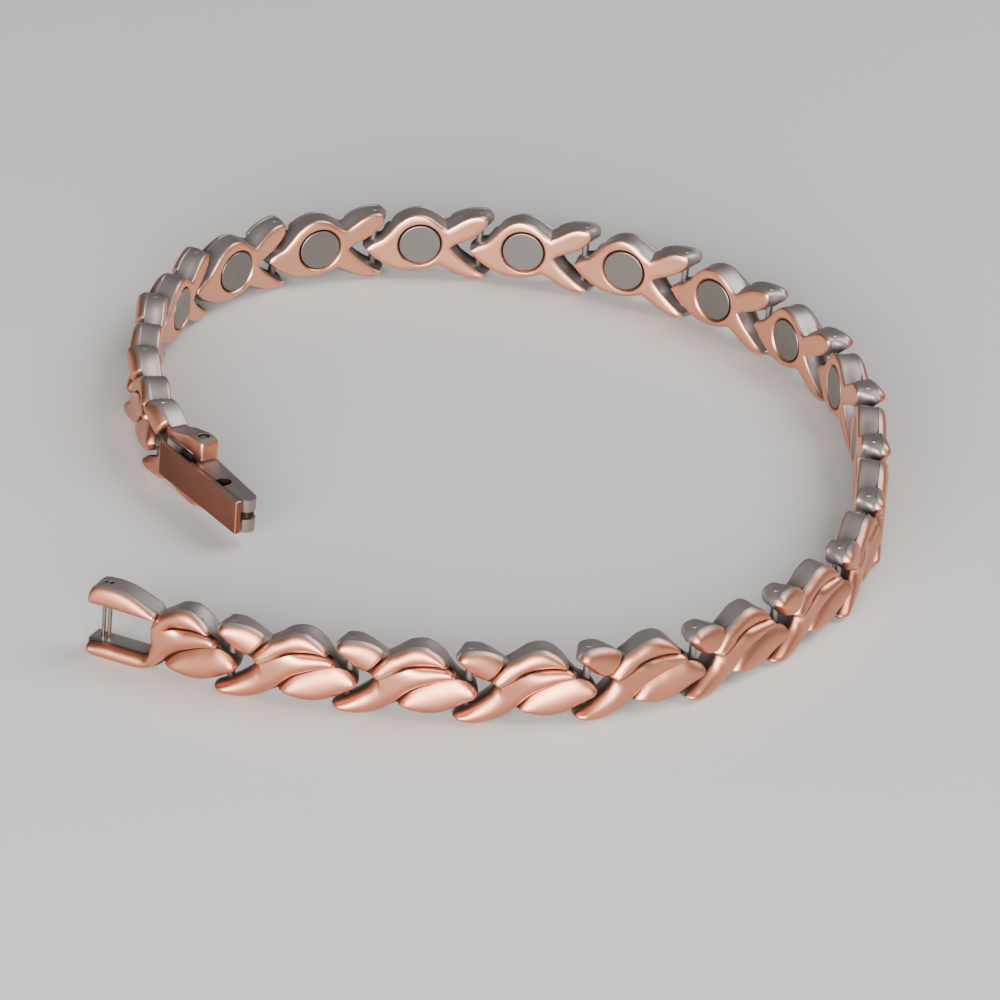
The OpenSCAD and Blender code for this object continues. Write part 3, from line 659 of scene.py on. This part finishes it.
def magnet_form(along):
    """A disc with a rounded edge on its face, in its seat."""
    bm = bmesh.new()
    made = bmesh.ops.create_circle(bm, segments=64, radius=MAGNET_R, cap_ends=True)["verts"]
    for v in made:
        v.co = (along + v.co.x, MAGNET_BACK, MAGNET_AT[1] + v.co.y)
    front = extruded_face(bm, made[0].link_faces[0])
    for v in front.verts:
        v.co.y = MAGNET_FRONT
    round_edges(bm, front.edges, MAGNET_ROUND)
    bmesh.ops.recalc_face_normals(bm, faces=bm.faces)
    return bm


def round_pin(bm, at, low, high, radius, width=0.05):
    """An upright pin with a small chamfer at both ends; at is (along, outward)."""
    made = bmesh.ops.create_circle(bm, segments=28, radius=radius, cap_ends=True)["verts"]
    for v in made:
        v.co = (at[0] + v.co.x, at[1] + v.co.y, low)
    top = extruded_face(bm, made[0].link_faces[0])
    for v in top.verts:
        v.co.z = high
    ends = [e for e in edges_round(made, top) if e.calc_face_angle(0) > 1]
    round_edges(bm, ends, width, 2)


def grey_above(bm, height):
    """Marks a pin's end as grey as the wall that it stands in."""
    side, _, wear_and_sheen = layers(bm)
    for v in bm.verts:
        if v.co.z > height:
            v[side], v[wear_and_sheen] = 1.0, 0.0


def bored(bm, holes):
    """Cuts upright holes into a bmesh, and keeps its masks."""
    cutters = bmesh.new()
    for along, outward, low, radius in holes:
        round_pin(cutters, (along, outward), low, high=8, radius=radius, width=0.001)
    bmesh.ops.recalc_face_normals(cutters, faces=cutters.faces)
    tree = KDTree(len(bm.verts))
    masks = []
    for i, v in enumerate(bm.verts):
        tree.insert(v.co, i)
        masks.append([v[mask] for mask in layers(bm)])
    tree.balance()
    pair = []
    for name, form in (("bored", bm), ("cutters", cutters)):
        mesh = bpy.data.meshes.new(name)
        form.to_mesh(mesh)
        form.free()
        o = bpy.data.objects.new(name, mesh)
        bpy.context.scene.collection.objects.link(o)
        pair.append(o)
    cut = pair[0].modifiers.new("cut", "BOOLEAN")
    cut.operation = "DIFFERENCE"
    cut.solver = "EXACT"
    cut.use_self = True
    cut.object = pair[1]
    shaped = bmesh.new()
    shaped.from_mesh(pair[0].evaluated_get(bpy.context.evaluated_depsgraph_get()).data)
    for o in pair:
        mesh = o.data
        bpy.data.objects.remove(o)
        bpy.data.meshes.remove(mesh)
    side, groove, wear_and_sheen = layers(shaped)
    for v in shaped.verts:
        v[side], v[groove], v[wear_and_sheen] = masks[tree.find(v.co)[1]]
    for hole in holes:
        soften_hole(shaped, *hole)
    return shaped


def soften_hole(bm, along, outward, low, radius):
    """Bevels a hole's upper rim and marks its wall as grey, darkened with painted shade."""
    side, groove, _ = layers(bm)

    def off(v):
        return math.hypot(v.co.x - along, v.co.y - outward)

    rim = [e for e in bm.edges if e.calc_face_angle(0) > 0.8
           and all(abs(off(v) - radius) < 0.004 and v.co.z > low + 0.02 for v in e.verts)]
    bmesh.ops.bevel(bm, geom=rim, offset=HOLE_CHAMFER, offset_type="OFFSET", affect="EDGES", segments=1,
                    profile=0.5, material=-1)
    for v in bm.verts:
        if off(v) < radius + 0.01 and v.co.z > low - 0.05:
            v[side], v[groove] = 1.0, 1.0


# The clasp
TO_CLASP = clasp_place().inverted()
NOTCH_ALONG = 4.15
TONGUE_SHADE = (-1.9, -1.5)    # along the tongue, where the painted shade on its front end begins
TONGUE_LONGER = 0.48


def copied_node(node, width):
    """A CAD node's shape as one mesh with rounded edges, in the bracelet's frame."""
    bm = bmesh.new()
    bm.from_mesh(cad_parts[node].data)
    bmesh.ops.remove_doubles(bm, verts=bm.verts, dist=2e-6)
    bmesh.ops.dissolve_limit(bm, angle_limit=math.radians(1), verts=bm.verts, edges=bm.edges)
    round_edges(bm, bm.edges, width * MM)
    return bm


def shade_and_patina_by_depth(bm, reach, most):
    """Paints shade, with patina, on what lies deep in a channel, a slot or a corner, by how many short rays
    the piece itself stops.
    """
    groove = layers(bm)[1]
    bm.normal_update()
    tree = BVHTree.FromBMesh(bm)
    fan = [Vector((math.cos(a) * r, math.sin(a) * r, up)) for r, up, n in ((0.5, 0.87, 6), (0.87, 0.5, 8))
           for a in [2 * math.pi * i / n for i in range(n)]]
    for v in bm.verts:
        turn = v.normal.to_track_quat("Z", "Y")
        hits = sum(tree.ray_cast(v.co + v.normal * 0.02 * reach, turn @ way, reach)[0] is not None
                   for way in fan)
        v[groove] = max(v[groove], most * ease(hits / len(fan), 0.3, 0.75))


def tray_form():
    """Grey top, bottom and hinge, painted shade with patina in the channel and notch, and a worn bright outer
    edge.
    """
    tray = copied_node("clasp_tray", width=0.05)
    grey_top_and_bottom(tray)
    shade_and_patina_by_depth(tray, reach=1.2 * MM, most=0.95)
    side, groove, wear_and_sheen = layers(tray)
    for v in tray.verts:
        at = TO_CLASP @ v.co
        v[side] = max(v[side], 0.8 * ease(at.x, HINGE_ALONG - 0.1, HINGE_ALONG + 0.25))
        outer_edge = at.y > 1.1 and at.x < HINGE_ALONG and 0.2 < v.normal.z < 0.9
        outer_top = at.y > 0.6 and at.x < 2.5 and v.normal.z >= 0.9
        # painted shade on the walls of the notch
        in_notch = abs(at.x - NOTCH_ALONG) < 0.75 and at.y > -0.1 and abs(v.normal.z) < 0.5
        if outer_edge:
            v[side], v[groove], v[wear_and_sheen] = 0.0, 0.0, 1.0
        elif outer_top:
            v[side] = 0.4
        if in_notch:
            v[groove] = 0.9
    return tray


def cover_form():
    """Painted shade, darker towards the pivot and on the tab in the hinge slot, a painted dark line of shade
    along the inner upper edge, and a grey upper edge that is worn bright on its outer side, partly as a
    painted sheen.
    """
    cover = copied_node("clasp_cover", width=0.09)
    shade_and_patina_by_depth(cover, reach=1.0 * MM, most=0.8)
    side, groove, wear_and_sheen = layers(cover)
    for v in cover.verts:
        at = TO_CLASP @ v.co
        # painted shade that deepens towards the pivot, between the last link's arms
        pivot_shade = 0.55 * (1 - ease(at.x, -1, HINGE_ALONG))
        # painted shade on the tab inside the tray's hinge slot
        tab = 0.9 if at.x > 6 and at.y < 1.2 else 0
        v[groove] = max(v[groove], pivot_shade, tab)
        v[side] = 0.75 * ease(v.normal.z, 0.8, 0.97) * ease(at.x, -1, 2.5)
        if v.normal.z > 0.2:
            outer, on_inner_edge = ease(at.y, 1.5, 1.66), at.y < 1.31
            # the outer upper edge is marked worn, and its brightness is partly a painted sheen
            v[groove] *= 1 - outer
            v[wear_and_sheen] = max(v[wear_and_sheen], outer)
            # a painted dark line along the inner upper edge, for the shade of the slot between cover and tray
            if on_inner_edge:
                v[groove], v[wear_and_sheen] = 0.9, 0.0
    return cover


def tongue_form():
    """A light strip whose front end is painted dark as shade, and which reaches close to the pivot."""
    tongue = copied_node("clasp_tongue", width=0.05)
    along_clasp = clasp_place().to_3x3() @ Vector((1, 0, 0))
    for along in TONGUE_SHADE:
        bmesh.ops.bisect_plane(tongue, geom=[*tongue.verts, *tongue.edges, *tongue.faces], dist=1e-7,
                               plane_co=clasp_place() @ Vector((along, 0, 0)), plane_no=along_clasp)
    _, groove, wear_and_sheen = layers(tongue)
    for v in tongue.verts:
        at = TO_CLASP @ v.co
        # painted shade on the front end
        dark = ease(at.x, TONGUE_SHADE[0] - 0.01, TONGUE_SHADE[1] + 0.01)
        v[groove], v[wear_and_sheen] = 0.95 * dark, v[wear_and_sheen] * (1 - dark)
        if at.x > TONGUE_SHADE[1] + 0.1:
            v.co = clasp_place() @ (at + Vector((TONGUE_LONGER, 0, 0)))
    return tongue


# Finishes
GRAIN = 0.08
GRAIN_DEPTH = 0.01 * MM


def shader_node(tree, kind, **values):
    made = tree.nodes.new("ShaderNode" + kind)
    for key, value in values.items():
        setattr(made, key, value)
    return made


def new_group(name, inputs, outputs):
    """A shader node group with named sockets; returns it with its input and output nodes."""
    group = bpy.data.node_groups.new(name, "ShaderNodeTree")
    for label, kind, value in inputs:
        made = group.interface.new_socket(label, in_out="INPUT", socket_type="NodeSocket" + kind)
        made.default_value = value
    for label, kind in outputs:
        group.interface.new_socket(label, in_out="OUTPUT", socket_type="NodeSocket" + kind)
    return group, group.nodes.new("NodeGroupInput"), group.nodes.new("NodeGroupOutput")


def feed(tree, socket, what):
    """Links a socket to an input, or sets the input's value."""
    if isinstance(what, bpy.types.NodeSocket):
        tree.links.new(what, socket)
    else:
        socket.default_value = what


def mixed(tree, factor, a, b):
    """A colour mix; each of factor, a and b is a socket or a value."""
    mix = shader_node(tree, "Mix", data_type="RGBA")
    colours = [i for i in mix.inputs if i.type == "RGBA"]
    for socket, what in ((mix.inputs["Factor"], factor), (colours[0], a), (colours[1], b)):
        feed(tree, socket, what)
    return next(o for o in mix.outputs if o.type == "RGBA")


def maths(tree, operation, a, b, clamp=False):
    step = shader_node(tree, "Math", operation=operation, use_clamp=clamp)
    feed(tree, step.inputs[0], a)
    feed(tree, step.inputs[1], b)
    return step.outputs[0]


def satin_group():
    """Satin metal: a fine blasted grain, and broad clouds of handling and tarnish."""
    group, ins, outs = new_group(
        "satin_grain",
        (("Grain size", "Float", 9000.0), ("Grain", "Float", 0.06), ("Cloud size", "Float", 420.0),
         ("Cloud", "Float", 0.3), ("Roughness", "Float", 0.3)),
        (("Cloud mask", "Float"), ("Roughness", "Float"), ("Height", "Float")))
    place = shader_node(group, "TexCoord")
    fine = shader_node(group, "TexNoise")
    fine.inputs["Detail"].default_value = 2
    cloud = shader_node(group, "TexNoise")
    cloud.inputs["Detail"].default_value = 4
    cloud.inputs["Roughness"].default_value = 0.6
    for noise, size in ((fine, "Grain size"), (cloud, "Cloud size")):
        group.links.new(place.outputs["Object"], noise.inputs["Vector"])
        group.links.new(ins.outputs[size], noise.inputs["Scale"])
    spread = shader_node(group, "MapRange")
    spread.inputs["From Min"].default_value = 0.36
    spread.inputs["From Max"].default_value = 0.66
    group.links.new(cloud.outputs["Fac"], spread.inputs["Value"])
    mask = maths(group, "MULTIPLY", spread.outputs["Result"], ins.outputs["Cloud"])
    group.links.new(mask, outs.inputs["Cloud mask"])
    uneven = maths(group, "SUBTRACT", fine.outputs["Fac"], 0.5)
    specks = maths(group, "MULTIPLY", uneven, ins.outputs["Grain"])
    broad = maths(group, "MULTIPLY", mask, 0.2)
    total = maths(group, "ADD", maths(group, "ADD", ins.outputs["Roughness"], specks), broad, True)
    group.links.new(total, outs.inputs["Roughness"])
    group.links.new(fine.outputs["Fac"], outs.inputs["Height"])
    return group


def antique_group():
    """The antique finish: grey plated walls, bright worn edges that in places are a painted highlight, and
    dark patina with painted shade in the recesses, joints and gaps.
    """
    group, ins, outs = new_group(
        "antique_layers",
        (("Face", "Color", (0.6, 0.26, 0.17, 1)), ("Wall", "Color", (0.3, 0.27, 0.26, 1)),
         ("Rubbed and sheen", "Color", (0.85, 0.5, 0.36, 1)), ("Patina and shade", "Color", (0.03, 0.02, 0.016, 1)),
         ("Tarnish", "Color", (0.3, 0.12, 0.07, 1)), ("Cloud mask", "Float", 0.0)),
        (("Color", "Color"), ("Recess", "Float"), ("Worn and sheen", "Float"), ("Plated", "Float")))
    masks = {}
    for name in ("side", "groove", "wear_and_sheen"):
        read = shader_node(group, "Attribute", attribute_name=name)
        masks[name] = read.outputs["Fac"]
    face = mixed(group, ins.outputs["Cloud mask"], ins.outputs["Face"], ins.outputs["Tarnish"])
    rub_and_sheen = maths(group, "MULTIPLY", masks["wear_and_sheen"], 0.7, True)
    face = mixed(group, rub_and_sheen, face, ins.outputs["Rubbed and sheen"])
    face = mixed(group, masks["side"], face, ins.outputs["Wall"])
    face = mixed(group, masks["groove"], face, ins.outputs["Patina and shade"])
    group.links.new(face, outs.inputs["Color"])
    group.links.new(masks["groove"], outs.inputs["Recess"])
    group.links.new(rub_and_sheen, outs.inputs["Worn and sheen"])
    group.links.new(masks["side"], outs.inputs["Plated"])
    return group


SATIN = satin_group()
ANTIQUE = antique_group()


def placed_satin(tree, bsdf, rough, cloud):
    """Puts the satin group into a material, with its grain as bump."""
    satin = shader_node(tree, "Group", node_tree=SATIN)
    for label, value in (("Cloud", cloud), ("Grain", GRAIN), ("Roughness", rough)):
        satin.inputs[label].default_value = value
    bump = shader_node(tree, "Bump")
    bump.inputs["Strength"].default_value = 0.25
    bump.inputs["Distance"].default_value = GRAIN_DEPTH
    tree.links.new(satin.outputs["Height"], bump.inputs["Height"])
    tree.links.new(bump.outputs["Normal"], bsdf.inputs["Normal"])
    return satin


def antique_metal(name, face, wall, rubbed_and_sheen, tarnish, rough):
    """A satin face, grey walls, bright edges partly painted as highlights and dark recesses partly painted as
    shade, read from the piece's own masks.
    """
    mat, tree, bsdf = shader(name)
    satin = placed_satin(tree, bsdf, rough, 0.35)
    coats = shader_node(tree, "Group", node_tree=ANTIQUE)
    for label, colour in (("Face", face), ("Wall", wall), ("Rubbed and sheen", rubbed_and_sheen), ("Tarnish", tarnish)):
        coats.inputs[label].default_value = (*colour, 1)
    tree.links.new(satin.outputs["Cloud mask"], coats.inputs["Cloud mask"])
    tree.links.new(coats.outputs["Color"], bsdf.inputs["Base Color"])
    skin = maths(tree, "MULTIPLY", coats.outputs["Plated"], 0.2)
    dull = maths(tree, "MULTIPLY", maths(tree, "ADD", coats.outputs["Recess"], skin), 0.25)
    polish = maths(tree, "MULTIPLY", coats.outputs["Worn and sheen"], 0.08)
    uneven = maths(tree, "SUBTRACT", satin.outputs["Roughness"], polish)
    tree.links.new(maths(tree, "ADD", uneven, dull, True), bsdf.inputs["Roughness"])
    oxide = maths(tree, "MULTIPLY", coats.outputs["Plated"], 0.15)
    tree.links.new(maths(tree, "SUBTRACT", 1.0, oxide, True), bsdf.inputs["Metallic"])
    return mat


def satin_metal(name, colour, tarnish, rough):
    """A plain satin metal with clouds of tarnish."""
    mat, tree, bsdf = shader(name)
    satin = placed_satin(tree, bsdf, rough, 0.3)
    clouded = mixed(tree, satin.outputs["Cloud mask"], (*colour, 1), (*tarnish, 1))
    tree.links.new(clouded, bsdf.inputs["Base Color"])
    tree.links.new(satin.outputs["Roughness"], bsdf.inputs["Roughness"])
    bsdf.inputs["Metallic"].default_value = 1.0
    return mat


COPPER = antique_metal("link_copper", face=(0.65, 0.27, 0.17), wall=(0.33, 0.285, 0.27),
                       rubbed_and_sheen=(0.92, 0.46, 0.30), tarnish=(0.45, 0.17, 0.105), rough=0.37)
CLASP_COPPER = antique_metal("clasp_copper", face=(0.31, 0.11, 0.068), wall=(0.29, 0.25, 0.24),
                             rubbed_and_sheen=(0.86, 0.46, 0.32), tarnish=(0.2, 0.07, 0.045), rough=0.36)
PIN_STEEL = antique_metal("pin_steel", face=(0.16, 0.14, 0.135), wall=(0.35, 0.305, 0.29),
                          rubbed_and_sheen=(0.5, 0.44, 0.4), tarnish=(0.08, 0.07, 0.065), rough=0.3)
TONGUE_STEEL = antique_metal("tongue_steel", face=(0.5, 0.46, 0.42), wall=(0.4, 0.37, 0.34),
                             rubbed_and_sheen=(0.7, 0.65, 0.6), tarnish=(0.3, 0.27, 0.25), rough=0.45)
MAGNET = satin_metal("magnet_grey", (0.23, 0.215, 0.205), (0.15, 0.14, 0.13), rough=0.34)
DARK_STEEL = satin_metal("dark_steel", (0.22, 0.19, 0.18), (0.10, 0.085, 0.08), rough=0.28)
BRIGHT_STEEL = satin_metal("bright_steel", (0.32, 0.285, 0.26), (0.14, 0.12, 0.11), rough=0.24)


# The finished pieces
def finish_piece(bm, name, place, body, node, material):
    """Puts a bmesh in its place as a smooth-shaded piece that stands for a node."""
    work = bm.copy()
    bmesh.ops.transform(work, matrix=place, verts=work.verts)
    if place.determinant() < 0:
        bmesh.ops.reverse_faces(work, faces=work.faces)
    mesh = bpy.data.meshes.new(name)
    work.to_mesh(mesh)
    work.free()
    mesh.shade_smooth()
    mesh.set_sharp_from_angle(angle=SHARP)
    piece = bpy.data.objects.new(name, mesh)
    bpy.context.scene.collection.objects.link(piece)
    mesh.materials.append(material)
    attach(piece, body)
    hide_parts(node)


STAY = Matrix.Identity(4)

chain_form = chain_link_form()
magnet = magnet_form(MAGNET_AT[0])
for k in range(1, LAST):
    name = "link_%02d" % (k + 1)
    finish_piece(chain_form, "cast_" + name, link_place(k), "bracelet", name, COPPER)
    name = "magnet_%02d" % (k + 1)
    finish_piece(magnet, "disc_" + name, link_place(k), "bracelet", name, MAGNET)
catch_form = bored(catch_link_form(), ROD_HOLES)
finish_piece(catch_form, "catch_link", link_place(0), "bracelet", "link_01", COPPER)
catch_magnet = magnet_form(MAGNET_AT[0] + SHIFT)
finish_piece(catch_magnet, "disc_magnet_01", link_place(0), "bracelet", "magnet_01", MAGNET)
last_form = bored(last_link_form(), (PIVOT_HOLE,))
finish_piece(last_form, "last_link", link_place(LAST), "bracelet", "link_22", COPPER)

pins = bmesh.new()
for k in range(1, LAST + 1):
    one = bmesh.new()
    round_pin(one, (0, 0), **JOINT_PIN)
    grey_above(one, JOINT_PIN_GREY)
    bmesh.ops.transform(one, matrix=link_place(k), verts=one.verts)
    join(pins, one)
bmesh.ops.recalc_face_normals(pins, faces=pins.faces)
finish_piece(pins, "joint_pins", STAY, "bracelet", "link_pins", PIN_STEEL)
rods = bmesh.new()
for along, high in ROD_TOPS:
    round_pin(rods, (along, 0), PIN_LOW, high, ROD_R)
bmesh.ops.recalc_face_normals(rods, faces=rods.faces)
finish_piece(rods, "rods_of_the_catch", link_place(0), "bracelet", "catch_rods", BRIGHT_STEEL)
pivot = bmesh.new()
round_pin(pivot, (0, 0), **PIVOT_PIN)
grey_above(pivot, PIVOT_PIN_GREY)
bmesh.ops.recalc_face_normals(pivot, faces=pivot.faces)
finish_piece(pivot, "pivot_pin", clasp_place(), "bracelet", "clasp_pivot_pin", PIN_STEEL)

finish_piece(tray_form(), "tray_leaf", STAY, "clasp_tray", "clasp_tray", CLASP_COPPER)
finish_piece(cover_form(), "cover_leaf", STAY, "clasp_cover", "clasp_cover", CLASP_COPPER)
finish_piece(tongue_form(), "steel_tongue", STAY, "clasp_tray", "clasp_tongue", TONGUE_STEEL)
hinge = copied_node("clasp_hinge_pin", width=0.04)
finish_piece(hinge, "hinge_pin", STAY, "clasp_tray", "clasp_hinge_pin", DARK_STEEL)
